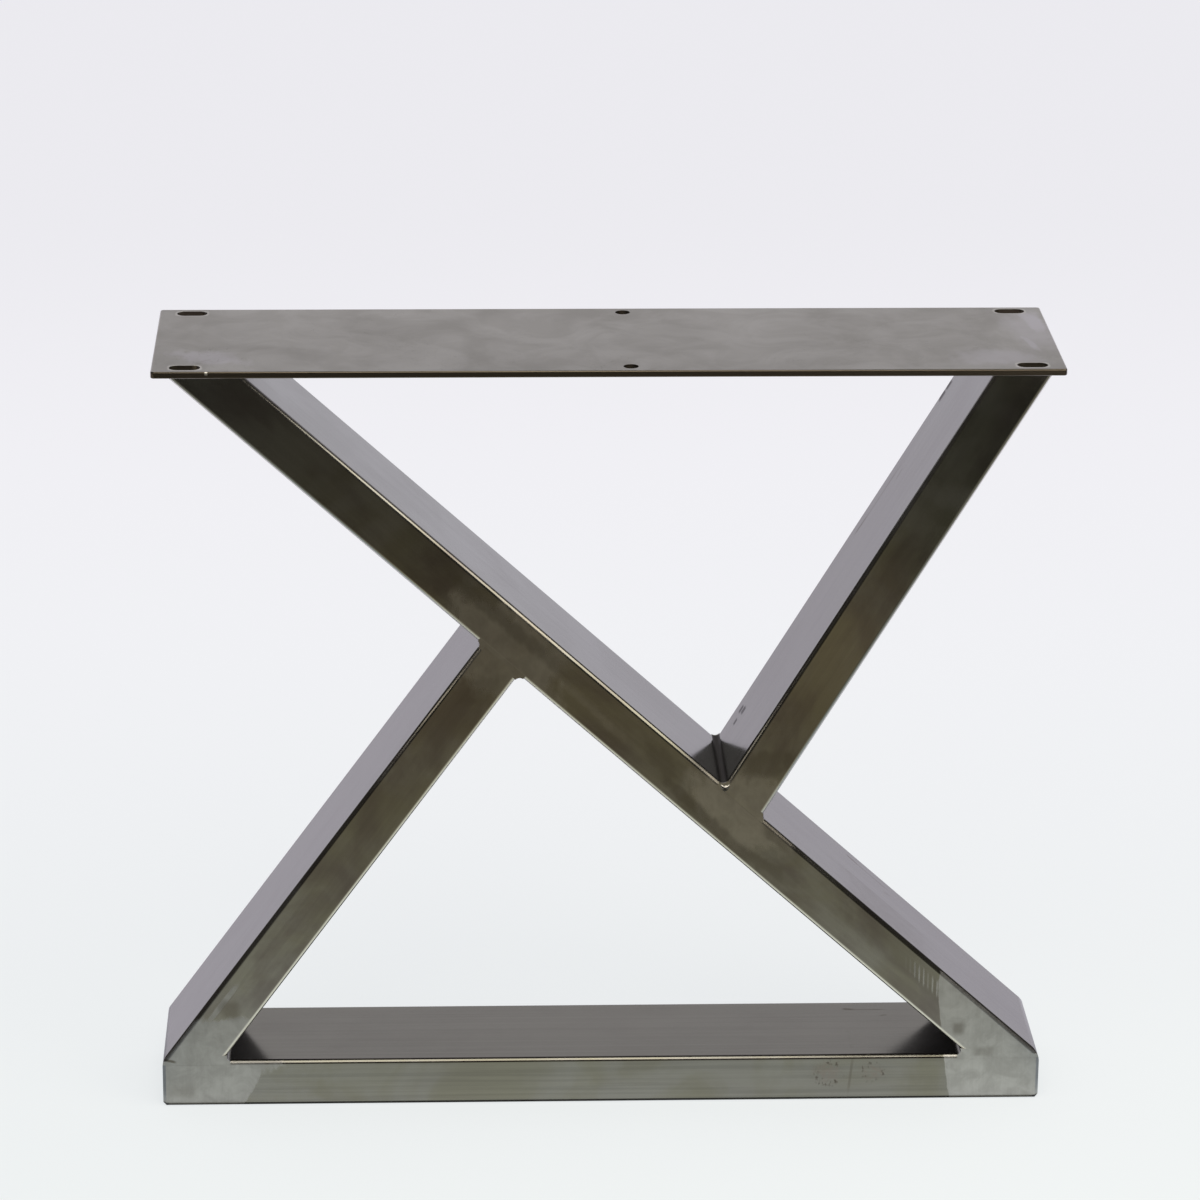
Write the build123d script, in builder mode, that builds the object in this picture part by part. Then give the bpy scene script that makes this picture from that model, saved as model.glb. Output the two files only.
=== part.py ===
"""Z-shaped table leg, welded from rectangular steel tube under a slotted flat-bar plate.

X runs along the leg from left to right, Y from front to back and Z up from the floor.
The origin is on the floor, under the middle of the leg.
"""
import os
from math import acos, asin, atan2, cos, hypot, radians, sin, tan

from build123d import *

# Overall height, floor to the top of the plate
leg_height = 700.0

# Top plate: flat bar with rounded edges, slots near its corners and two round holes near its middle
plate_length = 780.0
plate_depth = 194.0
plate_thickness = 6.0
plate_corner_radius = 3.0
plate_edge_radius = 1.2
slot_length = 26.5
slot_width = 14.0
slot_end_inset = 28.5  # slot centre from the plate's end
hole_edge_inset = 13.0  # slot and hole centres from the plate's long edges
middle_hole_diameter = 13.0
middle_hole_offset = 18.0  # middle holes to the right of the plate's centre

# Rectangular tube, one section for the struts and the rail
tube_face = 44.0  # seen from the front
tube_depth = 120.0
tube_wall = 2.0
tube_inner_radius = 2.0

# Struts and foot rail
strut_end_inset = 0.8  # outer corners of the struts from the plate's ends
upper_strut_angle = 59.1  # from the floor, degrees
lower_strut_angle = 54.2
rail_length = 791.0
foot_rounding = 20.0  # corners between the struts' outer faces and the rail's ends, ground round

# End caps of the rail: the rim is taken off, less than the tube is rounded, and bevelled inside
cap_thickness = 5.0
cap_rim_share = 0.7  # of the tube's outside corner
cap_bevel_share = 0.65  # of the thickness that the rim leaves

# Welds: beads in the corners are nearly true fillets, and fill the tubes' rounded edges between them
strut_bead_radius = 4.5  # between a strut and the diagonal
root_bead_radius = 3.5  # in the tight corners on the rail
bead_hollow = 0.85  # of a true fillet's
weld_fill = 0.9  # of the rounded edge's height
plate_bead_leg = 5.5
plate_bead_toe = 0.6

# Levels, ends and the tube's outside corner that follow from these sizes
tube_corner_radius = tube_inner_radius + tube_wall
half_depth = tube_depth / 2
plate_underside = leg_height - plate_thickness
plate_end = plate_length / 2
rail_top = tube_face
rail_end = rail_length / 2
weld_groove = weld_fill * tube_corner_radius
cap_rim = cap_rim_share * tube_corner_radius
cap_bevel = cap_bevel_share * (cap_thickness - cap_rim)


def in_leg(x, z):
    """A point or direction in the leg's middle plane."""
    return Vector(x, 0, z)


def meeting_point(point, direction, face):
    """Where a line crosses a plane."""
    return point + direction * ((face.origin - point).dot(face.z_dir) / direction.dot(face.z_dir))


# The diagonal reaches from the plate's left end to the rail's right end, corner to corner
diagonal_top_corner = in_leg(strut_end_inset - plate_end, plate_underside)
diagonal_foot_corner = in_leg(rail_end, rail_top)
diagonal_run = diagonal_foot_corner.X - diagonal_top_corner.X
diagonal_rise = plate_underside - rail_top
diagonal_reach = hypot(diagonal_run, diagonal_rise)
diagonal_slope = atan2(diagonal_rise, diagonal_run) + asin(tube_face / diagonal_reach)
diagonal_up = in_leg(-cos(diagonal_slope), sin(diagonal_slope))
diagonal_middle = (diagonal_top_corner + diagonal_foot_corner) * 0.5
diagonal_out = in_leg(sin(diagonal_slope), cos(diagonal_slope))

# Each strut's middle line, through its end on the plate or on the rail
upper_slope = radians(upper_strut_angle)
upper_up = in_leg(cos(upper_slope), sin(upper_slope))
upper_head = in_leg(plate_end - strut_end_inset - tube_face / 2 / sin(upper_slope), plate_underside)
lower_slope = radians(lower_strut_angle)
lower_up = in_leg(cos(lower_slope), sin(lower_slope))
lower_foot = in_leg(tube_face / 2 / sin(lower_slope) - rail_end, rail_top)

# Saw cuts: level under the plate and on the rail, and along both faces of the diagonal
under_plate = Plane.XY.offset(plate_underside)
on_rail = Plane.XY.offset(rail_top)
diagonal_upper_face = Plane(origin=diagonal_foot_corner, x_dir=(0, 1, 0), z_dir=diagonal_out)
diagonal_lower_face = Plane(origin=diagonal_top_corner, x_dir=(0, 1, 0), z_dir=-diagonal_out)

# Outer corners at the struts' feet
left_foot_corner = in_leg(-rail_end, rail_top)
right_foot_corner = diagonal_foot_corner

# Sections across the tubes, with their x axis along the leg's depth
diagonal_section = Plane(origin=diagonal_middle, x_dir=(0, 1, 0), z_dir=diagonal_up)
upper_section = Plane(origin=upper_head, x_dir=(0, 1, 0), z_dir=upper_up)
lower_section = Plane(origin=lower_foot, x_dir=(0, 1, 0), z_dir=lower_up)
rail_section = Plane(origin=in_leg(0, rail_top / 2), x_dir=(0, 1, 0), z_dir=(1, 0, 0))


def tube_outline():
    """The tube's outside, drawn in the sketch that is open."""
    RectangleRounded(tube_depth, tube_face, tube_corner_radius)


def tube_bore(mode=Mode.ADD):
    """The tube's hollow, drawn in the sketch that is open."""
    bore_depth = tube_depth - 2 * tube_wall
    bore_face = tube_face - 2 * tube_wall
    RectangleRounded(bore_depth, bore_face, tube_inner_radius, mode=mode)


def ground_corner(corner, strut_up):
    """What grinding takes off the corner between a strut's outer face and the rail's end."""
    down = in_leg(0, -1)
    half_angle = acos(strut_up.dot(down)) / 2
    reach = foot_rounding / tan(half_angle)
    inward = (strut_up + down).normalized()
    centre = inward * (foot_rounding / sin(half_angle))
    with BuildPart() as waste:
        with BuildSketch(Plane(origin=corner, x_dir=(1, 0, 0), z_dir=(0, -1, 0))):
            with BuildLine():
                Polyline((0, 0), (strut_up.X * reach, strut_up.Z * reach), (0, -reach), close=True)
            make_face()
            with Locations((centre.X, centre.Z)):
                Circle(foot_rounding, mode=Mode.SUBTRACT)
        extrude(amount=tube_depth, both=True)
    return waste


left_grinding = ground_corner(left_foot_corner, lower_up)
right_grinding = ground_corner(right_foot_corner, diagonal_up)

# Outer forms of the three sloping tubes and of the rail with its caps, as sawn and ground
with BuildPart() as diagonal_form:
    with BuildSketch(diagonal_section):
        tube_outline()
    extrude(amount=diagonal_reach, both=True)
    split(bisect_by=under_plate, keep=Keep.BOTTOM)
    split(bisect_by=on_rail, keep=Keep.TOP)
    add(right_grinding.part, mode=Mode.SUBTRACT)

with BuildPart() as upper_form:
    with BuildSketch(upper_section):
        tube_outline()
    extrude(amount=diagonal_reach, both=True)
    split(bisect_by=under_plate, keep=Keep.BOTTOM)
    split(bisect_by=diagonal_upper_face, keep=Keep.TOP)

with BuildPart() as lower_form:
    with BuildSketch(lower_section):
        tube_outline()
    extrude(amount=diagonal_reach, both=True)
    split(bisect_by=on_rail, keep=Keep.TOP)
    split(bisect_by=diagonal_lower_face, keep=Keep.TOP)
    add(left_grinding.part, mode=Mode.SUBTRACT)

with BuildPart() as rail_form:
    with BuildSketch(rail_section):
        tube_outline()
    extrude(amount=rail_end, both=True)
    ends = rail_form.faces().filter_by(Axis.X)
    chamfer(ends.edges(), length=cap_rim)
    add(left_grinding.part, mode=Mode.SUBTRACT)
    add(right_grinding.part, mode=Mode.SUBTRACT)

# Top plate
with BuildPart() as top_plate:
    with BuildSketch(under_plate):
        RectangleRounded(plate_length, plate_depth, plate_corner_radius)
    extrude(amount=plate_thickness)
    fillet(top_plate.faces().filter_by(Axis.Z).edges(), radius=plate_edge_radius)
    with BuildSketch(under_plate):
        with GridLocations(plate_length - 2 * slot_end_inset, plate_depth - 2 * hole_edge_inset, 2, 2):
            SlotOverall(slot_length, slot_width)
        with Locations((middle_hole_offset, 0)):
            with GridLocations(0, plate_depth - 2 * hole_edge_inset, 1, 2):
                Circle(middle_hole_diameter / 2)
    extrude(amount=plate_thickness, mode=Mode.SUBTRACT)

# Long diagonal, upper strut and lower strut: sawn tubes, open right through
with BuildPart() as long_diagonal:
    add(diagonal_form.part)
    with BuildSketch(diagonal_section):
        tube_bore()
    extrude(amount=diagonal_reach, both=True, mode=Mode.SUBTRACT)

with BuildPart() as upper_strut:
    add(upper_form.part)
    with BuildSketch(upper_section):
        tube_bore()
    extrude(amount=diagonal_reach, both=True, mode=Mode.SUBTRACT)

with BuildPart() as lower_strut:
    add(lower_form.part)
    with BuildSketch(lower_section):
        tube_bore()
    extrude(amount=diagonal_reach, both=True, mode=Mode.SUBTRACT)

# Foot rail: a square-cut tube between its caps
with BuildPart() as foot_rail:
    with BuildSketch(rail_section):
        tube_outline()
        tube_bore(mode=Mode.SUBTRACT)
    extrude(amount=rail_end - cap_thickness, both=True)


def end_cap(side):
    """A plate with the tube's outline, bevelled where it meets the tube; side is -1 left, 1 right."""
    joint = Plane(origin=(side * (rail_end - cap_thickness), 0, 0), z_dir=(side, 0, 0))
    with BuildPart() as cap:
        add(rail_form.part)
        split(bisect_by=joint, keep=Keep.TOP)
        inside = cap.faces().filter_by(Axis.X).sort_by(Axis.X)[-1 if side < 0 else 0]
        chamfer(inside.edges(), length=cap_bevel)
    return cap


def cap_weld(side, cap):
    """The ring of weld that fills the bevel round an end cap, ground flush with the tube."""
    joint = rail_section.offset(side * (rail_end - cap_thickness))
    with BuildPart() as ring:
        with BuildSketch(joint):
            tube_outline()
        extrude(amount=side * cap_bevel)
        add(cap.part, mode=Mode.SUBTRACT)
    return ring


def branch_weld(centre, face, branch_up, branch_form, main_form, left_bead, right_bead, grinding=None):
    """Weld round a tube's end on another tube's flat face.

    A bead of the given radius lies in the corner on each side, and on the front and back the weld fills
    the other tube's rounded edge, ground flush. A side of radius 0 is ground flush with the rail's end.
    """
    profile = Plane(origin=centre, x_dir=Vector(0, 1, 0).cross(face.z_dir), z_dir=(0, -1, 0))
    lean = profile.to_local_coords(centre + branch_up)
    half_foot = tube_face / 2 / lean.Y
    groove = Vector(0, weld_groove)
    feet = []
    toes = []
    with BuildPart() as weld:
        with BuildSketch(profile):
            with BuildLine():
                for side, radius in ((-1, left_bead), (1, right_bead)):
                    corner = Vector(side * half_foot, 0)
                    half_opening = acos(side * lean.X) / 2
                    leg = radius / tan(half_opening)
                    foot = corner + Vector(side * leg, 0)
                    toe = corner + lean * leg
                    if radius:
                        SagittaArc(foot, toe, side * bead_hollow * radius * (1 - sin(half_opening)))
                    Line(foot - groove, foot)
                    feet.append(foot - groove)
                    toes.append(toe)
                Line(*feet)
                Line(*toes)
            make_face()
        extrude(amount=half_depth, both=True)
        add(branch_form.part, mode=Mode.SUBTRACT)
        add(main_form.part, mode=Mode.SUBTRACT)
        if grinding:
            add(grinding.part, mode=Mode.SUBTRACT)
    return weld


def plate_bead_outline(head_width, margin):
    """A level section of the bead round a tube's head, drawn in the sketch that is open."""
    RectangleRounded(head_width + 2 * margin, tube_depth + 2 * margin, tube_corner_radius + margin)


def plate_weld(head, tube_up, tube_form):
    """Bead all round a tube's head under the plate, cut off at the plate's end."""
    head_width = tube_face / tube_up.Z
    lower = head - tube_up * (plate_bead_leg / tube_up.Z)
    with BuildPart() as weld:
        with BuildSketch(Plane.XY.move(Location(head))):
            plate_bead_outline(head_width, plate_bead_leg)
        with BuildSketch(Plane.XY.move(Location(lower))):
            plate_bead_outline(head_width, plate_bead_toe)
        loft(ruled=True)
        split(bisect_by=Plane.YZ.offset(plate_end), keep=Keep.BOTTOM)
        split(bisect_by=Plane.YZ.offset(-plate_end), keep=Keep.TOP)
        add(tube_form.part, mode=Mode.SUBTRACT)
    return weld


left_end_cap = end_cap(-1)
right_end_cap = end_cap(1)

diagonal_head = meeting_point(diagonal_middle, diagonal_up, under_plate)
diagonal_foot = meeting_point(diagonal_middle, diagonal_up, on_rail)
upper_foot = meeting_point(upper_head, upper_up, diagonal_upper_face)
lower_head = meeting_point(lower_foot, lower_up, diagonal_lower_face)

pieces = {
    "top_plate": top_plate,
    "long_diagonal": long_diagonal,
    "upper_strut": upper_strut,
    "lower_strut": lower_strut,
    "foot_rail": foot_rail,
    "left_end_cap": left_end_cap,
    "right_end_cap": right_end_cap,
    "diagonal_plate_weld": plate_weld(diagonal_head, diagonal_up, diagonal_form),
    "upper_strut_plate_weld": plate_weld(upper_head, upper_up, upper_form),
    "upper_strut_diagonal_weld": branch_weld(
        upper_foot, diagonal_upper_face, upper_up, upper_form, diagonal_form,
        strut_bead_radius, strut_bead_radius,
    ),
    "lower_strut_diagonal_weld": branch_weld(
        lower_head, diagonal_lower_face, -lower_up, lower_form, diagonal_form,
        strut_bead_radius, strut_bead_radius,
    ),
    "diagonal_rail_weld": branch_weld(
        diagonal_foot, on_rail, diagonal_up, diagonal_form, rail_form, root_bead_radius, 0, right_grinding
    ),
    "lower_strut_rail_weld": branch_weld(
        lower_foot, on_rail, lower_up, lower_form, rail_form, 0, root_bead_radius, left_grinding
    ),
    "left_cap_weld": cap_weld(-1, left_end_cap),
    "right_cap_weld": cap_weld(1, right_end_cap),
}

os.makedirs("parts", exist_ok=True)
for name, piece in pieces.items():
    piece.part.label = name
    export_step(piece.part, f"parts/{name}.step")
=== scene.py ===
"""Looks of a z-shaped table leg of bare steel tube and flat bar under clear lacquer, its welds ground."""
from functools import reduce
from math import atan2, cos, pi, radians, sin

import bmesh
import bpy
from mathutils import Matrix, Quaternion, Vector


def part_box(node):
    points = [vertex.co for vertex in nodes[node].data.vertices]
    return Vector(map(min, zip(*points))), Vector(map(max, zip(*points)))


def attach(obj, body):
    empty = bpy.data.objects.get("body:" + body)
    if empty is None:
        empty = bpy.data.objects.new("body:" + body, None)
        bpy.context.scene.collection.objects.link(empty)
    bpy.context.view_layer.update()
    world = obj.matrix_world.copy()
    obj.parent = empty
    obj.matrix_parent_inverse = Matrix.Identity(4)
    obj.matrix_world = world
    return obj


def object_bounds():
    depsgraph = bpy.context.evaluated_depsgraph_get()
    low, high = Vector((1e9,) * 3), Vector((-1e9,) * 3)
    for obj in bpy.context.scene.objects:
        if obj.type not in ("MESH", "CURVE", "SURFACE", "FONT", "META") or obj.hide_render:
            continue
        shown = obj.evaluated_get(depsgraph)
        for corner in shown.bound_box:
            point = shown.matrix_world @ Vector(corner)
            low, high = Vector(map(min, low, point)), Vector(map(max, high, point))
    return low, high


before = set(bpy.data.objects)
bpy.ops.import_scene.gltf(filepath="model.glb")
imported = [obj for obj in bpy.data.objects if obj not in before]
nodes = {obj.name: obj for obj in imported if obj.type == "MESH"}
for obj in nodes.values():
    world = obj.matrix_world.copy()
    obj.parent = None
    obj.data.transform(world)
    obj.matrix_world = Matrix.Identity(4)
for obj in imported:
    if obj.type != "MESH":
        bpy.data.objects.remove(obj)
cad_low, cad_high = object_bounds()

# Foot rail
# Rectangular steel tube that lies flat on the floor and carries the lower strut and the long diagonal.
# Cold rolled, bare under clear lacquer: cloudy, with faint lines along it and a few rust specks.
rail_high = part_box("foot_rail")[1]
steel_grey = (0.29, 0.286, 0.276, 1)
steel_olive = (0.255, 0.248, 0.212, 1)
steel_violet = (0.17, 0.15, 0.15, 1)
streak_dark = (0.75, 0.75, 0.76, 1)
ground_light = (0.45, 0.45, 0.46, 1)
ground_dark = (0.3, 0.297, 0.3, 1)
# Painted warm reflection tint, multiplied into the ground metal above the feet
warm_reflection_tint = (1.0, 0.94, 0.83, 1)
smudge_brown = (0.155, 0.141, 0.124, 1)
rust_brown = (0.06, 0.042, 0.034, 1)
rust_tinge = (0.25, 0.19, 0.18, 1)
# Painted highlight on the lower front and back edges of the tubes
lower_edge_highlight = (0.75, 0.735, 0.69, 1)
# Heat tint and painted shade in the inner corners of the welds; also the colour of the nicks
heat_shade_and_nick_brown = (0.036, 0.031, 0.03, 1)
# Painted shade on the undersides of the tubes, darker near the floor
underside_shade_dark = (0.12, 0.113, 0.11, 1)
underside_shade_black = (0.06, 0.056, 0.052, 1)
tube_roughness = 0.14
cloud_roughness = 0.05
ground_roughness = 0.38
heat_roughness = 0.45
underside_roughness = 0.6
rail_blotches = 0.15
rail_streaks = 0.7
side_blotches = 0.1
mottle_share = 0.6
right_ground_gain = 1.2
rust_speck_share = 0.7
rust_tinge_share = 0.28
line_depth = 0.06
stroke_depth = 0.25

# Where the faces were ground over the welds: at the feet, at the joints of the struts and under the plate
ground_patches = (
    dict(Middle_X=-0.395, Middle_Z=0.0, Half_X=0.0715, Half_Z=0.06, Lean=0.557, Ragged=0.02, Soft=0.015),
    dict(Middle_X=-0.35, Middle_Z=0.055, Half_X=0.06, Half_Z=0.029, Fall=0.12, Ragged=0.16, Soft=0.1),
    dict(Middle_X=-0.3405, Middle_Z=0.1, Half_X=0.003, Half_Z=0.018, Lean=0.721, Ragged=0.1, Soft=0.3,
         Share=0.8),
    dict(Middle_X=0.395, Middle_Z=0.05, Half_X=0.0873, Half_Z=0.12, Lean=-0.12, Ragged=0.012, Soft=0.008),
    dict(Middle_X=-0.09, Middle_Z=0.431, Half_X=0.047, Half_Z=0.044, Fall=-0.4, Ragged=0.25, Soft=0.25,
         Share=0.6),
    dict(Middle_X=-0.117, Middle_Z=0.463, Half_X=0.014, Half_Z=0.018, Ragged=0.2, Soft=0.2, Share=0.62),
    dict(Middle_X=-0.016, Middle_Z=0.3835, Half_X=0.027, Half_Z=0.005, Fall=-0.95, Ragged=0.4, Soft=0.6,
         Share=0.35),
    dict(Middle_X=0.126, Middle_Z=0.283, Half_X=0.042, Half_Z=0.036, Lean=-0.5, Ragged=0.2, Soft=0.2,
         Share=0.7),
    dict(Middle_X=0.36, Middle_Z=0.7, Half_X=0.06, Half_Z=0.03, Ragged=0.05, Soft=0.4, Share=0.08),
)

# Dark finger smudges and burnt spots beside the ground metal
smudge_patches = (
    dict(Middle_X=-0.334, Middle_Z=0.094, Half_X=0.008, Half_Z=0.008, Ragged=0.25, Soft=0.5, Share=0.6),
    dict(Middle_X=0.321, Middle_Z=0.07, Half_X=0.005, Half_Z=0.006, Ragged=0.3, Soft=0.6, Share=0.55),
    dict(Middle_X=0.344, Middle_Z=0.047, Half_X=0.008, Half_Z=0.004, Ragged=0.3, Soft=0.6, Share=0.35),
    dict(Middle_X=0.05, Middle_Z=0.329, Half_X=0.017, Half_Z=0.011, Fall=-0.8, Ragged=0.3, Soft=0.5,
         Share=0.5),
    dict(Middle_X=0.143, Middle_Z=0.325, Half_X=0.019, Half_Z=0.011, Lean=0.5, Ragged=0.4, Soft=0.4,
         Share=0.55),
    dict(Middle_X=0.083, Middle_Z=0.282, Half_X=0.031, Half_Z=0.0075, Fall=-1.06, Ragged=0.4, Soft=0.5,
         Share=0.62),
    dict(Middle_X=0.133, Middle_Z=0.2365, Half_X=0.028, Half_Z=0.006, Fall=-0.65, Ragged=0.4, Soft=0.5,
         Share=0.5),
    dict(Middle_X=0.153, Middle_Z=0.2545, Half_X=0.01, Half_Z=0.005, Fall=-0.8, Ragged=0.4, Soft=0.5,
         Share=0.55),
    dict(Middle_X=-0.088, Middle_Z=0.461, Half_X=0.044, Half_Z=0.0075, Fall=-0.9, Ragged=0.4, Soft=0.5,
         Share=0.5),
    dict(Middle_X=-0.112, Middle_Z=0.397, Half_X=0.015, Half_Z=0.011, Lean=0.7, Ragged=0.4, Soft=0.5,
         Share=0.35),
    dict(Middle_X=0.255, Middle_Z=0.158, Half_X=0.034, Half_Z=0.016, Fall=-0.9, Ragged=0.3, Soft=0.6,
         Share=0.4),
    dict(Middle_X=-0.38, Middle_Z=0.015, Half_X=0.012, Half_Z=0.006, Ragged=0.3, Soft=0.7, Share=0.25),
    dict(Middle_X=-0.3885, Middle_Z=0.0445, Half_X=0.0045, Half_Z=0.0012, Fall=-0.2, Ragged=0.2, Soft=0.5,
         Share=0.9),
    dict(Middle_X=0.2243, Middle_Z=0.0245, Half_X=0.0012, Half_Z=0.0145, Lean=0.1, Ragged=0.2, Soft=0.5,
         Share=0.55),
)

# Scratches, seen from above
scratch_patches = (
    dict(Middle_X=0.231, Middle_Z=0.042, Half_X=0.006, Half_Z=0.0018, Fall=-0.12, Ragged=0.35, Soft=0.4),
    dict(Middle_X=0.249, Middle_Z=0.041, Half_X=0.014, Half_Z=0.001, Ragged=0.25, Soft=0.4, Share=0.7),
    dict(Middle_X=0.262, Middle_Z=0.028, Half_X=0.003, Half_Z=0.0012, Fall=0.3, Ragged=0.3, Soft=0.5,
         Share=0.6),
)

# Dried drops on the front of the rail
rust_rings = (
    dict(Middle_X=0.2035, Middle_Z=0.0275, Half_X=0.0122, Half_Z=0.0105),
    dict(Middle_X=0.2446, Middle_Z=0.0272, Half_X=0.0096, Half_Z=0.008),
)


def place(tree, kind, settings=None, **inputs):
    """Adds a node, with its settings, and fills its inputs from values or from other nodes' outputs."""
    made = tree.nodes.new(kind)
    for key, value in (settings or {}).items():
        setattr(made, key, value)
    for key, value in inputs.items():
        socket = made.inputs[int(key[1:])] if key[1:].isdigit() else made.inputs[key.replace("_", " ")]
        if isinstance(value, bpy.types.NodeSocket):
            tree.links.new(value, socket)
        else:
            socket.default_value = value
    return made


def sums(tree, operation, *values):
    """The output of a Math node."""
    return place(tree, "ShaderNodeMath", {"operation": operation},
                 **{f"i{n}": value for n, value in enumerate(values)}).outputs[0]


def spread(tree, value, start, end, low=0.0, high=1.0):
    """A value's range from start to end, laid smoothly onto low to high."""
    return place(tree, "ShaderNodeMapRange", {"interpolation_type": "SMOOTHSTEP"}, Value=value,
                 From_Min=start, From_Max=end, To_Min=low, To_Max=high).outputs["Result"]


def axes_of(tree, spot):
    """The x, y and z of a place."""
    return place(tree, "ShaderNodeSeparateXYZ", i0=spot).outputs


def stretch(tree, spot, factors):
    """A place with its axes stretched."""
    return place(tree, "ShaderNodeVectorMath", {"operation": "MULTIPLY"}, i0=spot, i1=factors).outputs[0]


def from_above(tree, spot):
    """A place with its depth put for its height, so that patches lie on level faces."""
    axes = axes_of(tree, spot)
    return place(tree, "ShaderNodeCombineXYZ", i0=axes[0], i2=axes[1]).outputs[0]


def noise(tree, spot, scale, detail=3.0, roughness=0.55, distortion=0.0):
    """A cloudy value from 0 to 1."""
    return place(tree, "ShaderNodeTexNoise", Vector=spot, Scale=scale, Detail=detail, Roughness=roughness,
                 Distortion=distortion).outputs["Fac"]


def blend_values(tree, share, first, second):
    """Two values mixed by a share."""
    return place(tree, "ShaderNodeMix", i0=share, i2=first, i3=second).outputs[0]


def blend_colours(tree, share, first, second, blend="MIX"):
    """Two colours mixed by a share."""
    made = place(tree, "ShaderNodeMix", {"data_type": "RGBA", "blend_type": blend}, i0=share)
    for socket, value in ((made.inputs[6], first), (made.inputs[7], second)):
        if isinstance(value, bpy.types.NodeSocket):
            tree.links.new(value, socket)
        else:
            socket.default_value = value
    return made.outputs[2]


def new_group(name, inputs, outputs):
    """An empty shader node group with a vector input for the place on the piece, and float sockets."""
    group = bpy.data.node_groups.new(name, "ShaderNodeTree")
    group.interface.new_socket("Place", in_out="INPUT", socket_type="NodeSocketVector")
    for label, value in inputs.items():
        socket = group.interface.new_socket(label, in_out="INPUT", socket_type="NodeSocketFloat")
        socket.default_value = value
    for label in outputs:
        group.interface.new_socket(label, in_out="OUTPUT", socket_type="NodeSocketFloat")
    entry = group.nodes.new("NodeGroupInput")
    leave = group.nodes.new("NodeGroupOutput")
    return group, entry.outputs, leave.inputs


def make_mill_skin():
    """Rolled steel: broad clouds, smaller blotches, fine lines along the tube and a slight unevenness."""
    group, into, out = new_group("mill_skin", {}, ("Clouds", "Blotches", "Lines", "Waves"))
    spot = into["Place"]
    group.links.new(spread(group, noise(group, spot, 13.0, 4.0, 0.55, 0.6), 0.36, 0.64), out["Clouds"])
    drawn_out = stretch(group, spot, (0.5, 1.0, 1.0))
    group.links.new(spread(group, noise(group, drawn_out, 24.0, 4.0, 0.55, 0.5), 0.4, 0.7), out["Blotches"])
    group.links.new(noise(group, stretch(group, spot, (2.0, 330.0, 330.0)), 1.0, 3.0, 0.6), out["Lines"])
    group.links.new(noise(group, spot, 16.0, 1.0), out["Waves"])
    return group


def make_patch():
    """A patch of a face, seen from the front or the back, with a ragged rim.

    Lean slants its upright sides, as x for each z, and Fall its level ones, as z for each x.
    """
    group, into, out = new_group(
        "patch",
        {"Middle X": 0.0, "Middle Z": 0.0, "Half X": 0.05, "Half Z": 0.05, "Lean": 0.0, "Fall": 0.0,
         "Ragged": 0.05, "Soft": 0.03, "Share": 1.0},
        ("Patch",),
    )
    axes = axes_of(group, into["Place"])
    from_x = sums(group, "SUBTRACT", axes[0], into["Middle X"])
    from_z = sums(group, "SUBTRACT", axes[2], into["Middle Z"])
    leant_x = sums(group, "SUBTRACT", from_x, sums(group, "MULTIPLY", from_z, into["Lean"]))
    fallen_z = sums(group, "SUBTRACT", from_z, sums(group, "MULTIPLY", from_x, into["Fall"]))
    off_x = sums(group, "ABSOLUTE", sums(group, "DIVIDE", leant_x, into["Half X"]))
    off_z = sums(group, "ABSOLUTE", sums(group, "DIVIDE", fallen_z, into["Half Z"]))
    powers = sums(group, "ADD", sums(group, "POWER", off_x, 4.0), sums(group, "POWER", off_z, 4.0))
    far = sums(group, "POWER", powers, 0.25)
    rough_rim = noise(group, stretch(group, into["Place"], (110.0, 110.0, 60.0)), 1.0, 2.0, 0.5)
    raggedness = sums(group, "MULTIPLY", into["Ragged"], 4.0)
    wander = sums(group, "MULTIPLY", sums(group, "SUBTRACT", rough_rim, 0.5), raggedness)
    start = sums(group, "ADD", 1.0, into["Soft"])
    end = sums(group, "SUBTRACT", 1.0, into["Soft"])
    mask = spread(group, sums(group, "ADD", far, wander), start, end)
    group.links.new(sums(group, "MULTIPLY", mask, into["Share"]), out["Patch"])
    return group


def make_brush_marks():
    """What a flap disc leaves: upright strokes, and a cloudy mottle under them."""
    group, into, out = new_group("brush_marks", {}, ("Strokes", "Mottle"))
    spot = into["Place"]
    group.links.new(noise(group, stretch(group, spot, (520.0, 200.0, 40.0)), 1.0, 3.0, 0.6), out["Strokes"])
    group.links.new(spread(group, noise(group, spot, 60.0, 5.0, 0.65, 0.5), 0.3, 0.7), out["Mottle"])
    return group


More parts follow.
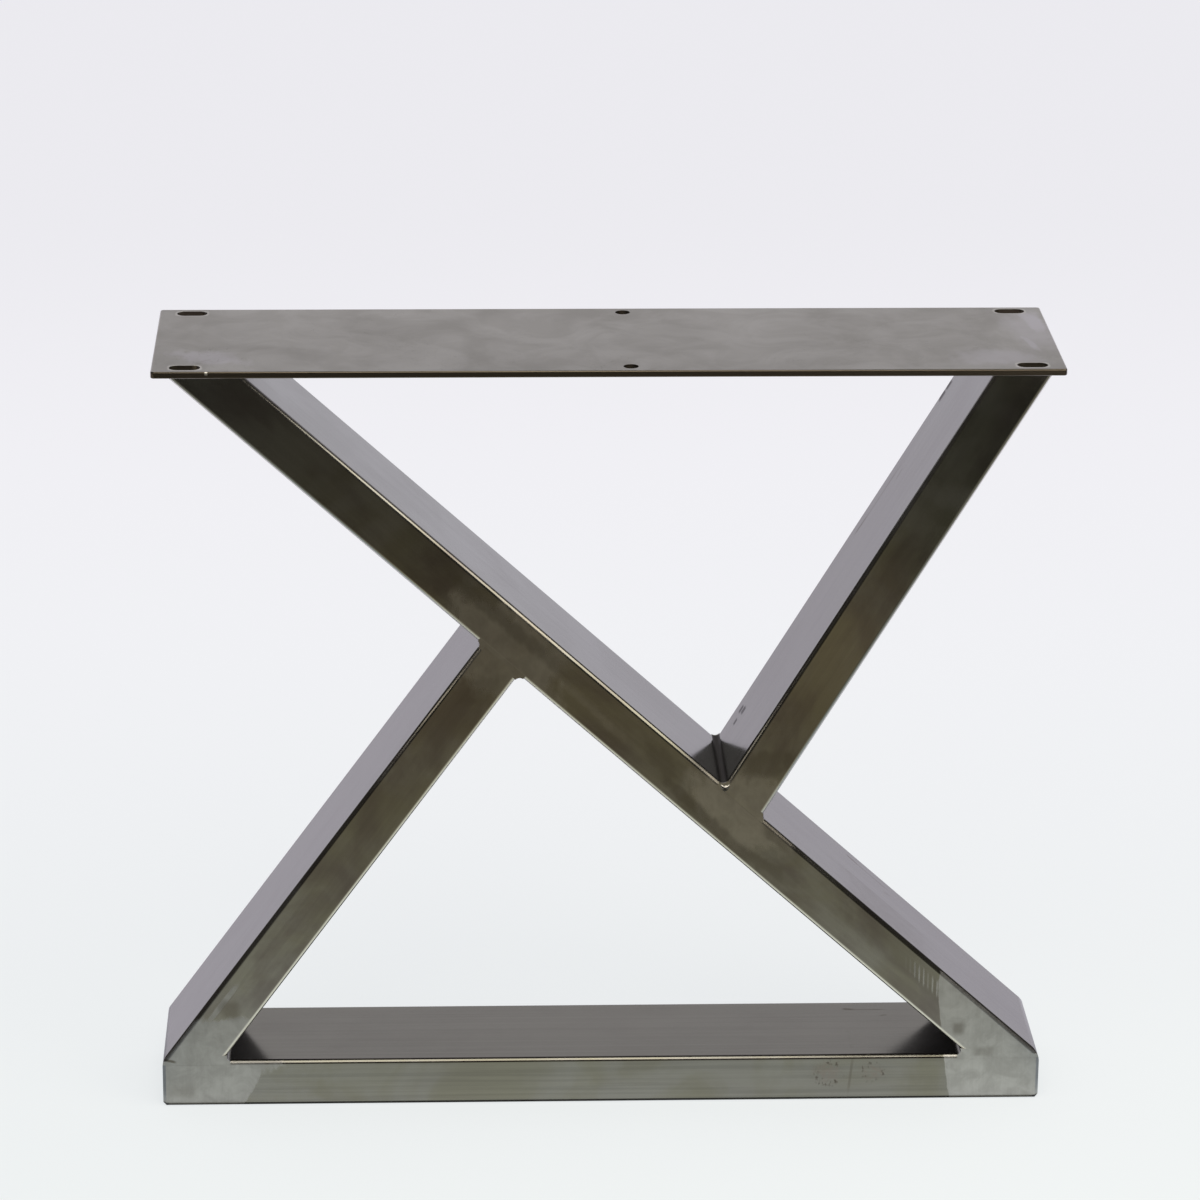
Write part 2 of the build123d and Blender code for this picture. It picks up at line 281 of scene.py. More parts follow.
def make_ring():
    """Rust specks round the rim of a dried drop, and a faint tinge inside it."""
    group, into, out = new_group("ring", {"Middle X": 0.0, "Middle Z": 0.0, "Half X": 0.01, "Half Z": 0.01},
                                 ("Specks", "Tinge"))
    spot = into["Place"]
    axes = axes_of(group, spot)
    off_x = sums(group, "DIVIDE", sums(group, "SUBTRACT", axes[0], into["Middle X"]), into["Half X"])
    off_z = sums(group, "DIVIDE", sums(group, "SUBTRACT", axes[2], into["Middle Z"]), into["Half Z"])
    square_x = sums(group, "MULTIPLY", off_x, off_x)
    square_z = sums(group, "MULTIPLY", off_z, off_z)
    round_far = sums(group, "SQRT", sums(group, "ADD", square_x, square_z))
    wander = sums(group, "MULTIPLY", sums(group, "SUBTRACT", noise(group, spot, 170.0, 2.0), 0.5), 0.9)
    far = sums(group, "ADD", round_far, wander)
    rim = spread(group, sums(group, "ABSOLUTE", sums(group, "SUBTRACT", far, 1.0)), 0.42, 0.05)
    grains = noise(group, stretch(group, spot, (380.0, 380.0, 230.0)), 1.0, 4.0, 0.7)
    broken_rim = sums(group, "MULTIPLY", rim, spread(group, grains, 0.5, 0.62))
    uneven = spread(group, noise(group, spot, 95.0, 1.0), 0.42, 0.58, 0.1, 1.0)
    group.links.new(sums(group, "MULTIPLY", broken_rim, uneven), out["Specks"])
    inside = spread(group, far, 1.25, 0.5)
    cloudy = spread(group, noise(group, spot, 260.0, 3.0, 0.6), 0.4, 0.6)
    group.links.new(sums(group, "MULTIPLY", inside, cloudy), out["Tinge"])
    return group


mill_skin = make_mill_skin()
patch = make_patch()
brush_marks = make_brush_marks()
ring = make_ring()


def use_group(tree, group, spot, **inputs):
    """Places a node group at a spot on the piece and gives its outputs."""
    return place(tree, "ShaderNodeGroup", {"node_tree": group}, Place=spot, **inputs).outputs


def largest(tree, masks):
    """Several masks as one."""
    return reduce(lambda first, second: sums(tree, "MAXIMUM", first, second), masks)


def all_patches(tree, spot, patches):
    """Several patches as one mask."""
    return largest(tree, [use_group(tree, patch, spot, **sizes)[0] for sizes in patches])


def new_steel(name):
    """A metal material: its tree, its shader and the piece's own place in metres."""
    material = bpy.data.materials.new(name)
    material.use_nodes = True
    tree = material.node_tree
    shader = tree.nodes["Principled BSDF"]
    shader.inputs["Metallic"].default_value = 1.0
    spot = place(tree, "ShaderNodeTexCoord").outputs["Object"]
    return material, tree, shader, spot


def emboss(tree, shader, height, strength, depth):
    """Lets a height show as relief."""
    bump = place(tree, "ShaderNodeBump", Height=height, Strength=strength, Distance=depth)
    tree.links.new(bump.outputs[0], shader.inputs["Normal"])


def front_and_ends(tree, spot):
    """The leg's flat front and back, where all its faces lie level, and the ends of the rail."""
    axes = axes_of(tree, spot)
    flat = spread(tree, sums(tree, "ABSOLUTE", axes[1]), rail_high.y - 0.0025, rail_high.y - 0.0008)
    ends = spread(tree, sums(tree, "ABSOLUTE", axes[0]), cad_high.x - 0.004, cad_high.x - 0.002)
    return sums(tree, "MAXIMUM", flat, ends)


def top_scratches(tree, spot):
    """Short dark scratches on the top of the rail and on the faces straight above them."""
    dashes = all_patches(tree, from_above(tree, spot), scratch_patches)
    upper = spread(tree, axes_of(tree, spot)[2], rail_high.z - 0.002, rail_high.z - 0.0005)
    return sums(tree, "MULTIPLY", dashes, upper)


def tube_slope(piece):
    """How far a tube leans from the floor, taken from its widest face that looks down."""
    down = [face for face in nodes[piece].data.polygons if face.normal.z < -0.2]
    under = max(down, key=lambda face: face.area)
    return atan2(under.normal.x, -under.normal.z)


def lower_side(tree, along, piece, slope):
    """A tube's lower front and back edges, where a highlight is painted, and its underside, where shade is
    painted.
    """
    corners = nodes[piece].data.vertices
    lowest = min(corner.co.z * cos(slope) - corner.co.x * sin(slope) for corner in corners)
    axes = axes_of(tree, along)
    low = spread(tree, axes[2], lowest + 0.0042, lowest + 0.0024)
    outer = spread(tree, sums(tree, "ABSOLUTE", axes[1]), rail_high.y - 0.008, rail_high.y - 0.004)
    underside = spread(tree, axes[2], lowest + 0.0012, lowest + 0.0004)
    return sums(tree, "MULTIPLY", low, outer), underside


def rolled_colour(tree, along, skin, front, blotched, streaked):
    """Steel from the mill: olive and grey clouds, violet blotches and lines along the tube."""
    off_front = spread(tree, front, 0.0, 1.0, 1.0, 0.0)
    clouds = sums(tree, "MAXIMUM", skin["Clouds"], off_front)
    colour = blend_colours(tree, clouds, steel_olive, steel_grey)
    blotch_share = spread(tree, front, 0.0, 1.0, side_blotches, blotched)
    blotches = sums(tree, "MULTIPLY", skin["Blotches"], blotch_share)
    colour = blend_colours(tree, blotches, colour, steel_violet)
    line_shade = spread(tree, skin["Lines"], 0.3, 0.7, 0.96, 1.04)
    colour = blend_colours(tree, 1.0, colour, line_shade, "MULTIPLY")
    long_lines = noise(tree, stretch(tree, along, (4.0, 0.0, 260.0)), 1.0, 2.0, 0.5)
    streaks = sums(tree, "MULTIPLY", spread(tree, long_lines, 0.45, 0.62, 0.45, 1.0), front)
    return blend_colours(tree, sums(tree, "MULTIPLY", streaks, streaked), colour, streak_dark, "MULTIPLY")


def ground_colour(tree, axes, marks):
    """Metal bared by the disc: mottled and stroked, lighter on the right, with a painted warm reflection
    tint above the feet.
    """
    mottle = sums(tree, "MULTIPLY", marks["Mottle"], mottle_share)
    strokes = sums(tree, "MULTIPLY", marks["Strokes"], 1.0 - mottle_share)
    colour = blend_colours(tree, sums(tree, "ADD", mottle, strokes), ground_dark, ground_light)
    gain = spread(tree, axes[0], 0.1, 0.3, 1.0, right_ground_gain)
    colour = blend_colours(tree, 1.0, colour, gain, "MULTIPLY")
    # Painted warm reflection tint on the ground metal above the feet
    return blend_colours(tree, spread(tree, axes[2], 0.13, 0.22), colour, warm_reflection_tint, "MULTIPLY")


def tube_steel(name, slope, blotched, painted_lower_side=None, heat_and_shade_share=0.0, low_mirror=1.0, streaked=0.0,
               rings=(), chatter=None, nicks=None):
    """Rolled steel whose length lies at a slope to the floor, more or less blotched on its front and back.

    Painted_lower_side is the piece whose lower edges get a painted highlight and whose underside gets
    painted shade, darker near the floor. Heat_and_shade_share is how far heat tint and painted shade darken
    the faces off the front, low_mirror how well the steel mirrors at low angles, and streaked how dark the
    lines along its front are. Rings are rust rings on its front. Chatter and nicks are functions that mark
    out those flaws.
    """
    material, tree, shader, spot = new_steel(name)
    shader.inputs["Specular Tint"].default_value = (low_mirror, low_mirror, low_mirror, 1)
    turned = place(tree, "ShaderNodeVectorRotate", {"rotation_type": "Y_AXIS"}, Vector=spot, Angle=slope)
    along = turned.outputs[0]
    skin = use_group(tree, mill_skin, along)
    marks = use_group(tree, brush_marks, spot)
    axes = axes_of(tree, spot)
    front = front_and_ends(tree, spot)
    off_front = spread(tree, front, 0.0, 1.0, 1.0, 0.0)
    ahead = spread(tree, axes[1], 0.001, -0.001)
    worked = all_patches(tree, spot, ground_patches)
    if chatter:
        worked = sums(tree, "MAXIMUM", worked, sums(tree, "MULTIPLY", chatter(tree, spot), ahead))
    ground = sums(tree, "MULTIPLY", worked, front)
    rolled = rolled_colour(tree, along, skin, front, blotched, streaked)
    colour = blend_colours(tree, ground, rolled, ground_colour(tree, axes, marks))
    smudges = sums(tree, "MULTIPLY", all_patches(tree, spot, smudge_patches), ahead)
    stains = sums(tree, "MAXIMUM", smudges, top_scratches(tree, spot))
    colour = blend_colours(tree, stains, colour, smudge_brown)
    if nicks:
        nicked = sums(tree, "MULTIPLY", nicks(tree, spot), off_front)
        colour = blend_colours(tree, nicked, colour, heat_shade_and_nick_brown)
    facing = sums(tree, "MULTIPLY", front, ahead)
    for sizes in rings:
        rust = use_group(tree, ring, spot, **sizes)
        tinge = sums(tree, "MULTIPLY", rust["Tinge"], sums(tree, "MULTIPLY", facing, rust_tinge_share))
        colour = blend_colours(tree, tinge, colour, rust_tinge)
        specks = sums(tree, "MULTIPLY", rust["Specks"], sums(tree, "MULTIPLY", facing, rust_speck_share))
        colour = blend_colours(tree, specks, colour, rust_brown)
    # Heat tint and painted shade on the faces off the front, which on the welds are the inner corners
    heat_and_shade = sums(tree, "MULTIPLY", off_front, heat_and_shade_share)
    rough = sums(tree, "ADD", tube_roughness, sums(tree, "MULTIPLY", skin["Clouds"], cloud_roughness))
    rough = blend_values(tree, ground, rough, ground_roughness)
    rough = blend_values(tree, heat_and_shade, rough, heat_roughness)
    if painted_lower_side:
        # Painted highlight along the lower front and back edges; painted shade on the underside, darker
        # near the floor
        painted_edge_highlight, underside = lower_side(tree, along, painted_lower_side, slope)
        underside = sums(tree, "MULTIPLY", underside, off_front)
        colour = blend_colours(tree, painted_edge_highlight, colour, lower_edge_highlight)
        scale = blend_colours(tree, spread(tree, axes[2], 0.2, 0.1), underside_shade_dark, underside_shade_black)
        colour = blend_colours(tree, underside, colour, scale)
        rough = blend_values(tree, underside, rough, underside_roughness)
    colour = blend_colours(tree, heat_and_shade, colour, heat_shade_and_nick_brown)
    tree.links.new(colour, shader.inputs["Base Color"])
    tree.links.new(rough, shader.inputs["Roughness"])
    scored = sums(tree, "MULTIPLY", sums(tree, "MULTIPLY", marks["Strokes"], ground), stroke_depth)
    drawn = sums(tree, "ADD", sums(tree, "MULTIPLY", skin["Lines"], line_depth), skin["Waves"])
    emboss(tree, shader, sums(tree, "ADD", drawn, scored), 0.5, 0.0001)
    return material


def dress(name, material):
    """Gives a piece its finish, in all its material slots."""
    piece = nodes[name]
    piece.data.materials.clear()
    piece.data.materials.append(material)
    for face in piece.data.polygons:
        face.use_smooth = True


rail_steel = tube_steel("rail_steel", tube_slope("foot_rail"), rail_blotches, painted_lower_side="foot_rail",
                        streaked=rail_streaks, rings=rust_rings)
dress("foot_rail", rail_steel)

# End caps
# Flat steel plates that close the two ends of the rail, with a bead of weld all round each of them.
# Plate and bead are ground flush with the tube, so they have one finish.
cap_blotches = 0.1
cap_steel = tube_steel("cap_steel", radians(90), cap_blotches)
for side in ("left", "right"):
    dress(f"{side}_end_cap", cap_steel)
    dress(f"{side}_cap_weld", cap_steel)

# Struts and long diagonal
# The same steel tube, sawn level under the plate and on the rail, and along the faces of the diagonal.
# They are more blotched than the rail, and two of them keep marks of the disc and of knocks.
strut_blotches = 0.75
strut_low_mirror = 0.6
chatter_pitch = 0.0041
chatter_strip = dict(Middle_X=0.2908, Middle_Z=0.1178, Half_X=0.0165, Half_Z=0.0075, Fall=-0.905,
                     Ragged=0.15, Soft=0.35)
nick_half_x = 0.006

# The middle of each nick, then half its width across the face and half its height
nick_places = (
    ((0.3026, 0.0535, 0.6312), 0.007, 0.0045),
    ((0.3086, 0.0535, 0.6412), 0.006, 0.004),
    ((0.1302, 0.0315, 0.3432), 0.0052, 0.0034),
    ((0.1288, 0.0405, 0.3409), 0.0044, 0.003),
    ((0.1231, 0.0335, 0.3313), 0.004, 0.0026),
)


def disc_chatter(tree, spot):
    """A row of short upright strokes where the disc chattered, down the middle of the diagonal's front."""
    strip = use_group(tree, patch, spot, **chatter_strip)[0]
    wave = sums(tree, "SINE", sums(tree, "MULTIPLY", axes_of(tree, spot)[0], 2 * pi / chatter_pitch))
    pressure = noise(tree, stretch(tree, spot, (230.0, 0.0, 0.0)), 1.0, 1.0)
    uneven = sums(tree, "MULTIPLY", strip, spread(tree, pressure, 0.4, 0.58, 0.35, 1.0))
    return sums(tree, "MULTIPLY", uneven, spread(tree, wave, 0.1, 0.9))


def face_nicks(tree, spot):
    """Short dark nicks in the left face of the upper strut and in its back edge."""
    deep = axes_of(tree, spot)[1]
    masks = []
    for (middle_x, middle_y, middle_z), half_y, half_z in nick_places:
        near = use_group(tree, patch, spot, Middle_X=middle_x, Middle_Z=middle_z, Half_X=nick_half_x,
                         Half_Z=half_z, Ragged=0.2, Soft=0.3)[0]
        off_y = sums(tree, "ABSOLUTE", sums(tree, "SUBTRACT", deep, middle_y))
        masks.append(sums(tree, "MULTIPLY", near, spread(tree, off_y, half_y, 0.4 * half_y)))
    return largest(tree, masks)


for strut, flaws in (
    ("long_diagonal", {"chatter": disc_chatter}),
    ("upper_strut", {"nicks": face_nicks}),
    ("lower_strut", {}),
):
    dress(strut, tube_steel(f"{strut}_steel", tube_slope(strut), strut_blotches, painted_lower_side=strut,
                            low_mirror=strut_low_mirror, **flaws))

# Welds
# Beads of weld metal round each joint: ground flush on the front and back, smooth in the inner corners.
# Heat tint and painted shade darken them there, most of all in the notch between the upper strut and the
# diagonal.
weld_blotches = 0.5
# How far heat tint and painted shade darken the weld corners, and more in the notch
weld_heat_and_shade = 0.35
notch_heat_and_shade = 0.88
weld_steel = tube_steel("weld_steel", 0.0, weld_blotches, heat_and_shade_share=weld_heat_and_shade, low_mirror=strut_low_mirror)
burnt_shaded_steel = tube_steel("burnt_shaded_weld_steel", 0.0, weld_blotches, heat_and_shade_share=notch_heat_and_shade,
                         low_mirror=strut_low_mirror)
for joint in ("diagonal_plate", "upper_strut_plate", "lower_strut_diagonal", "diagonal_rail",
              "lower_strut_rail"):
    dress(f"{joint}_weld", weld_steel)
dress("upper_strut_diagonal_weld", burnt_shaded_steel)

# Weld drop
# A little weld metal that ran out of the notch under the upper strut and set on the front of the leg.
# It is left as it set, with a painted highlight on its upper half, where it meets the notch, and painted
# shade at its foot.
drop_spot = Vector((0.1063, -0.0598, 0.3038))
drop_half = Vector((0.0042, 0.0017, 0.0028))
drop_lift = 1.1
drop_thinning = 0.35
# Painted highlight on the drop's upper half, and painted shade at its foot
drop_highlight = (0.42, 0.41, 0.41, 1)
drop_shade = (0.07, 0.066, 0.066, 1)
drop_roughness = 0.2


def drop_mesh():
    """A flattened drop, fuller at its foot, with two ends that run up along the notch's edges."""
    form = bmesh.new()
    bmesh.ops.create_icosphere(form, subdivisions=4, radius=1.0)
    for corner in form.verts:
        x, y, z = corner.co
        thick = y * (1 - drop_thinning * z)
        lifted = z + drop_lift * x * x
        corner.co = drop_spot + Vector((drop_half.x * x, drop_half.y * thick, drop_half.z * lifted))
    for face in form.faces:
        face.smooth = True
    mesh = bpy.data.meshes.new("weld_drop")
    form.to_mesh(mesh)
    form.free()
    return mesh


def drop_steel():
    """Bare weld metal, with a painted highlight above and painted shade below."""
    material, tree, shader, spot = new_steel("drop_steel")
    shader.inputs["Roughness"].default_value = drop_roughness
    shade = spread(tree, noise(tree, spot, 700.0, 2.0), 0.35, 0.65, 0.85, 1.0)
    upper = spread(tree, axes_of(tree, spot)[2], drop_spot.z - 0.001, drop_spot.z + 0.001)
    # Painted highlight above, painted shade below
    colour = blend_colours(tree, upper, drop_shade, drop_highlight)
    tree.links.new(blend_colours(tree, 1.0, colour, shade, "MULTIPLY"), shader.inputs["Base Color"])
    emboss(tree, shader, noise(tree, spot, 900.0, 2.0), 0.2, 0.0002)
    return material


weld_drop = bpy.data.objects.new("weld_drop", drop_mesh())
weld_drop.data.materials.append(drop_steel())
bpy.context.scene.collection.objects.link(weld_drop)
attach(weld_drop, "root")

# Top plate
# Flat bar, slotted and drilled for screws into a table top, welded on the diagonal and the upper strut.
# Satin from the mill, with rounded edges, hand smudges and scuffed ends.
plate_low, plate_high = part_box("top_plate")
plate_dark = (0.352, 0.338, 0.322, 1)
plate_light = (0.412, 0.399, 0.386, 1)
scratch_dark = (0.86, 0.85, 0.84, 1)
scuff_light = (0.53, 0.51, 0.55, 1)
# Painted highlight round the rims of the slots
rim_highlight = (0.6, 0.585, 0.56, 1)
nick_bright = (0.85, 0.84, 0.82, 1)
# Dark brown of the sawn edges, also painted on the walls of the holes as shade
sawn_and_shade_brown = (0.125, 0.106, 0.086, 1)
plate_roughness = 0.28
plate_cloud_roughness = 0.08
sawn_roughness = 0.3
front_gain = 0.97
back_gain = 1.06
slot_x = 0.3615
slot_y = 0.084
edge_nick = dict(Middle_X=-0.3428, Middle_Z=plate_low.y, Half_X=0.0012, Half_Z=0.0016, Soft=0.4)

# Scuffs, and a painted highlight round the rims of the slots, seen from above
scuff_patches = (
    dict(Middle_X=0.379, Middle_Z=0.047, Half_X=0.008, Half_Z=0.032, Lean=-0.1, Ragged=0.3, Soft=0.5),
    dict(Middle_X=0.3675, Middle_Z=-0.014, Half_X=0.003, Half_Z=0.022, Lean=-0.2, Ragged=0.5, Soft=0.6,
         Share=0.8),
    dict(Middle_X=0.372, Middle_Z=0.02, Half_X=0.016, Half_Z=0.05, Lean=-0.15, Ragged=0.3, Soft=0.6,
         Share=0.5),
    dict(Middle_X=0.335, Middle_Z=-0.06, Half_X=0.03, Half_Z=0.02, Ragged=0.3, Soft=0.6, Share=0.6),
    dict(Middle_X=-0.342, Middle_Z=-0.055, Half_X=0.022, Half_Z=0.018, Lean=-0.6, Ragged=0.4, Soft=0.5,
         Share=0.7),
)
slot_rim_highlights = [
    dict(Middle_X=x, Middle_Z=y, Half_X=0.0147, Half_Z=0.0088, Ragged=0.04, Soft=0.06, Share=0.9)
    for x in (-slot_x, slot_x) for y in (-slot_y, slot_y)
]


def plate_steel():
    """Satin flat bar with smudges; its sawn edges are dark from the saw, and the walls of its holes are
    painted the same dark brown as shade.
    """
    material, tree, shader, spot = new_steel("plate_steel")
    skin = use_group(tree, mill_skin, spot)
    axes = axes_of(tree, spot)
    level = from_above(tree, spot)
    smudge = noise(tree, spot, 18.0, 5.0, 0.6, 1.2)
    colour = blend_colours(tree, spread(tree, smudge, 0.35, 0.65), plate_dark, plate_light)
    colour = blend_colours(tree, all_patches(tree, level, scuff_patches), colour, scuff_light)
    gain = spread(tree, axes[1], plate_low.y, plate_high.y, front_gain, back_gain)
    colour = blend_colours(tree, 1.0, colour, gain, "MULTIPLY")
    swirl = noise(tree, spot, 26.0, 2.0, 0.5, 2.5)
    scratch = spread(tree, sums(tree, "ABSOLUTE", sums(tree, "SUBTRACT", swirl, 0.5)), 0.012, 0.002)
    sparse = spread(tree, noise(tree, spot, 9.0, 2.0), 0.5, 0.62)
    colour = blend_colours(tree, sums(tree, "MULTIPLY", scratch, sparse), colour, scratch_dark, "MULTIPLY")
    # Painted highlight round the slot rims
    colour = blend_colours(tree, all_patches(tree, level, slot_rim_highlights), colour, rim_highlight)
    under_top = spread(tree, axes[2], plate_high.z - 0.0001, plate_high.z - 0.0004)
    over_bottom = spread(tree, axes[2], plate_low.z + 0.0001, plate_low.z + 0.0004)
    sawn_and_shaded_walls = sums(tree, "MULTIPLY", under_top, over_bottom)
    # Sawn edges dark brown, and the hole walls painted dark brown as shade
    colour = blend_colours(tree, sawn_and_shaded_walls, colour, sawn_and_shade_brown)
    upper_edge = spread(tree, axes[2], plate_high.z - 0.0035, plate_high.z - 0.0025)
    nick = sums(tree, "MULTIPLY", use_group(tree, patch, level, **edge_nick)[0], upper_edge)
    colour = blend_colours(tree, nick, colour, nick_bright)
    tree.links.new(colour, shader.inputs["Base Color"])
    cloudy = sums(tree, "MULTIPLY", skin["Clouds"], plate_cloud_roughness)
    rough = blend_values(tree, sawn_and_shaded_walls, sums(tree, "ADD", plate_roughness, cloudy), sawn_roughness)
    tree.links.new(rough, shader.inputs["Roughness"])
    emboss(tree, shader, skin["Lines"], 0.3, 0.0001)
    return material


dress("top_plate", plate_steel())

# Floor
# A wide pale sheet under the leg, lavender-grey behind it and whiter in front.
# What the steel mirrors of it is pale behind the leg, and in front fades with distance, as in a dim room.
floor_half = 30.0
floor_back = (0.885, 0.878, 0.92, 1)
floor_front = (0.86, 0.9, 0.905, 1)
middle_depth = 1.5
middle_glow = 1.04
lit_share = 0.2
aside_blue = (0.45, 0.5, 0.58, 1)
mirrored_back = (1.1, 1.055, 1.175, 1)
far_right_glow = 1.75
mirror_reach = 2.4
contact_shade = 0.03

# Shades that the steel mirrors of the floor, from beside the leg to the end of the reach
mirrored_front = (
    (0.0, (0.78, 0.8, 0.72, 1)),
    (0.03, (0.70, 0.725, 0.645, 1)),
    (0.17, (0.42, 0.41, 0.32, 1)),
    (0.34, (0.26, 0.23, 0.15, 1)),
    (0.46, (0.25, 0.21, 0.135, 1)),
    (0.6, (0.15, 0.13, 0.085, 1)),
    (0.72, (0.09, 0.08, 0.05, 1)),
    (1.0, (0.05, 0.045, 0.03, 1)),
)


def beyond(tree, value, edge):
    """How far a value lies outside an edge, on either side of the middle."""
    return sums(tree, "MAXIMUM", sums(tree, "SUBTRACT", sums(tree, "ABSOLUTE", value), edge), 0.0)


def shade_ramp(tree, value, stops):
    """A value from 0 to 1 as a run of shades."""
    made = place(tree, "ShaderNodeValToRGB", Fac=value)
    ramp = made.color_ramp
    while len(ramp.elements) < len(stops):
        ramp.elements.new(0.5)
    for element, (at, shade) in zip(ramp.elements, stops):
        element.position = at
        element.color = shade
    return made.outputs[0]


def floor_paper():
    """Pale paper to the eye, and the same sheet as the steel mirrors it."""
    material = bpy.data.materials.new("floor_paper")
    material.use_nodes = True
    tree = material.node_tree
    tree.nodes.clear()
    geometry = place(tree, "ShaderNodeNewGeometry").outputs
    axes = axes_of(tree, geometry["Position"])
    side = beyond(tree, axes[0], cad_high.x)
    deep = beyond(tree, axes[1], rail_high.y)
    squares = sums(tree, "ADD", sums(tree, "MULTIPLY", side, side), sums(tree, "MULTIPLY", deep, deep))
    away = sums(tree, "SQRT", squares)
    mirrored = shade_ramp(tree, sums(tree, "DIVIDE", away, mirror_reach), mirrored_front)
    mirrored = blend_colours(tree, spread(tree, side, 0.0, 0.03), mirrored, aside_blue, "MULTIPLY")
    far_right = sums(tree, "MULTIPLY", spread(tree, axes[0], 0.1, 0.35), spread(tree, away, 0.9, 1.3))
    far_gain = spread(tree, far_right, 0.0, 1.0, 1.0, far_right_glow)
    mirrored = blend_colours(tree, 1.0, mirrored, far_gain, "MULTIPLY")
    mirrored = blend_colours(tree, spread(tree, axes[1], -0.1, 0.25), mirrored, mirrored_back)
    contact = spread(tree, away, 0.002, 0.007, contact_shade, 1.0)
    mirrored = blend_colours(tree, 1.0, mirrored, contact, "MULTIPLY")
    seen_colour = blend_colours(tree, spread(tree, axes[1], 2.5, -1.2), floor_back, floor_front)
    off_middle = sums(tree, "ABSOLUTE", sums(tree, "SUBTRACT", axes[1], middle_depth))
    middle_gain = spread(tree, off_middle, 1.7, 0.2, 1.0, middle_glow)
    seen_colour = blend_colours(tree, 1.0, seen_colour, middle_gain, "MULTIPLY")
    glow = place(tree, "ShaderNodeEmission", Color=mirrored, Strength=1.0).outputs[0]
    own = place(tree, "ShaderNodeEmission", Color=seen_colour, Strength=1.0).outputs[0]
    paper = place(tree, "ShaderNodeBsdfDiffuse", Color=seen_colour).outputs[0]
    pale = place(tree, "ShaderNodeMixShader", i0=lit_share, i1=own, i2=paper).outputs[0]
    glossy = place(tree, "ShaderNodeLightPath").outputs["Is Glossy Ray"]
    seen = place(tree, "ShaderNodeMixShader", i0=glossy, i1=pale, i2=glow).outputs[0]
    clear = place(tree, "ShaderNodeBsdfTransparent").outputs[0]
    both = place(tree, "ShaderNodeMixShader", i0=geometry["Backfacing"], i1=seen, i2=clear).outputs[0]
    out = place(tree, "ShaderNodeOutputMaterial")
    tree.links.new(both, out.inputs["Surface"])
    return material


sheet = bpy.data.meshes.new("floor")
sheet_corners = [(floor_half * x, floor_half * y, 0) for x, y in ((-1, -1), (1, -1), (1, 1), (-1, 1))]
sheet.from_pydata(sheet_corners, [], [(0, 1, 2, 3)])
floor = bpy.data.objects.new("floor", sheet)
bpy.context.scene.collection.objects.link(floor)
sheet.materials.append(floor_paper())

# Light
# Pale surroundings, and a backdrop that the steel mirrors, which darkens upward.
# Cream soft boxes stand close by, in front of the leg and at both sides.
room_glow = 2.0
room_white = (0.35, 0.35, 0.35, 1)
room_dark = (0.028, 0.026, 0.023, 1)
box_cream = (1.0, 0.93, 0.76)
backdrop_shades = (
    (0.0, (0.67, 0.665, 0.73, 1)),
    (0.26, (0.67, 0.662, 0.72, 1)),
    (0.4, (0.31, 0.303, 0.305, 1)),
    (0.61, (0.265, 0.255, 0.25, 1)),
    (0.75, (0.15, 0.145, 0.14, 1)),
    (0.95, (0.12, 0.117, 0.112, 1)),
)


def studio_surroundings(tree):
    """Pale to the eye and on the floor; in the steel a backdrop behind the leg, and a dark room."""
    tree.nodes.clear()
    axes = axes_of(tree, place(tree, "ShaderNodeTexCoord").outputs["Generated"])
    height = place(tree, "ShaderNodeMapRange", Value=axes[2], From_Min=-0.2, From_Max=0.8).outputs["Result"]
    backdrop = shade_ramp(tree, height, backdrop_shades)
    mirrored = blend_colours(tree, spread(tree, axes[1], 0.45, 0.85), room_dark, backdrop)
    glossy = place(tree, "ShaderNodeLightPath").outputs["Is Glossy Ray"]
    shade = blend_colours(tree, glossy, room_white, mirrored)
    glow = place(tree, "ShaderNodeBackground", Color=shade, Strength=room_glow)
    out = place(tree, "ShaderNodeOutputWorld")
    tree.links.new(glow.outputs[0], out.inputs["Surface"])


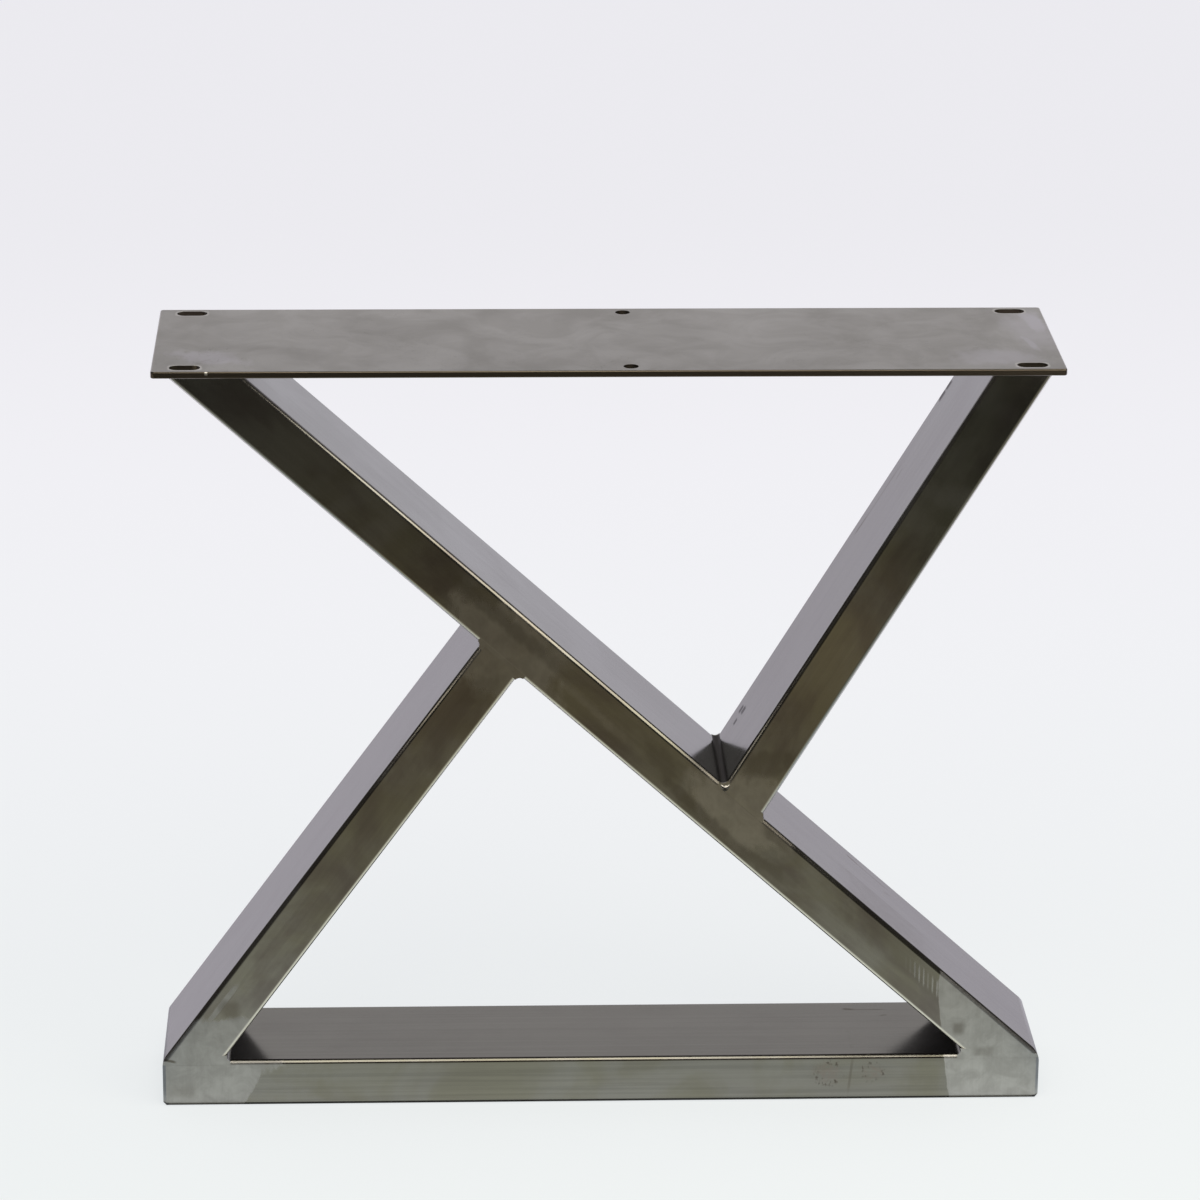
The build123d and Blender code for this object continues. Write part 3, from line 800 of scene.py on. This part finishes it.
def soft_box(name, spot, aim, width, height, glow, turn=0.0):
    """A rectangular light, equally bright all over, that faces a point and is turned about its own axis."""
    light = bpy.data.lights.new(name, "AREA")
    light.shape = "RECTANGLE"
    light.size = width
    light.size_y = height
    light.energy = glow * pi * width * height
    light.color = box_cream
    lamp = bpy.data.objects.new(name, light)
    toward = Vector(aim) - Vector(spot)
    lamp.location = spot
    lamp.rotation_mode = "QUATERNION"
    lamp.rotation_quaternion = toward.to_track_quat("-Z", "Y") @ Quaternion((0, 0, 1), turn)
    lamp.visible_camera = False
    bpy.context.scene.collection.objects.link(lamp)


world = bpy.data.worlds.new("studio")
bpy.context.scene.world = world
world.use_nodes = True
studio_surroundings(world.node_tree)
soft_box("front_box", spot=(-0.04, -1.0885, 1.839), aim=(-0.04, 0.312, 0.329), width=0.86, height=1.85,
         glow=2.6)
soft_box("right_box", spot=(0.649, -0.542, 0.946), aim=(-0.093, -0.06, 0.48), width=0.54, height=0.94,
         glow=2.6, turn=radians(-65.5))
soft_box("left_box", spot=(-0.635, -0.48, 0.511), aim=(0.228, -0.018, 0.31), width=0.5, height=0.042,
         glow=1.9, turn=radians(-14.5))
bpy.context.scene.view_settings.view_transform = "Standard"

# Camera
# A long lens in front of the leg and above it, a little to the left.
# Its place, directions and focus were fitted to the edges of the leg as it is pictured.
camera_spot = Vector((-0.17408, -4.03237, 1.86929))
camera_heading = radians(2.42561)
camera_pitch = radians(-19.24896)
camera_roll = radians(0.49356)
picture_focus = 4834.64
picture_width = 1200.0
camera = bpy.data.cameras.new("camera")
camera.sensor_width = 36.0
camera.lens = picture_focus / picture_width * camera.sensor_width
camera.clip_end = 200.0
look = Vector((0, 1, 0))
look.rotate(Quaternion((1, 0, 0), camera_pitch))
look.rotate(Quaternion((0, 0, 1), -camera_heading))
viewer = bpy.data.objects.new("camera", camera)
viewer.location = camera_spot
viewer.rotation_mode = "QUATERNION"
viewer.rotation_quaternion = look.to_track_quat("-Z", "Y") @ Quaternion((0, 0, 1), camera_roll)
bpy.context.scene.collection.objects.link(viewer)
bpy.context.scene.camera = viewer
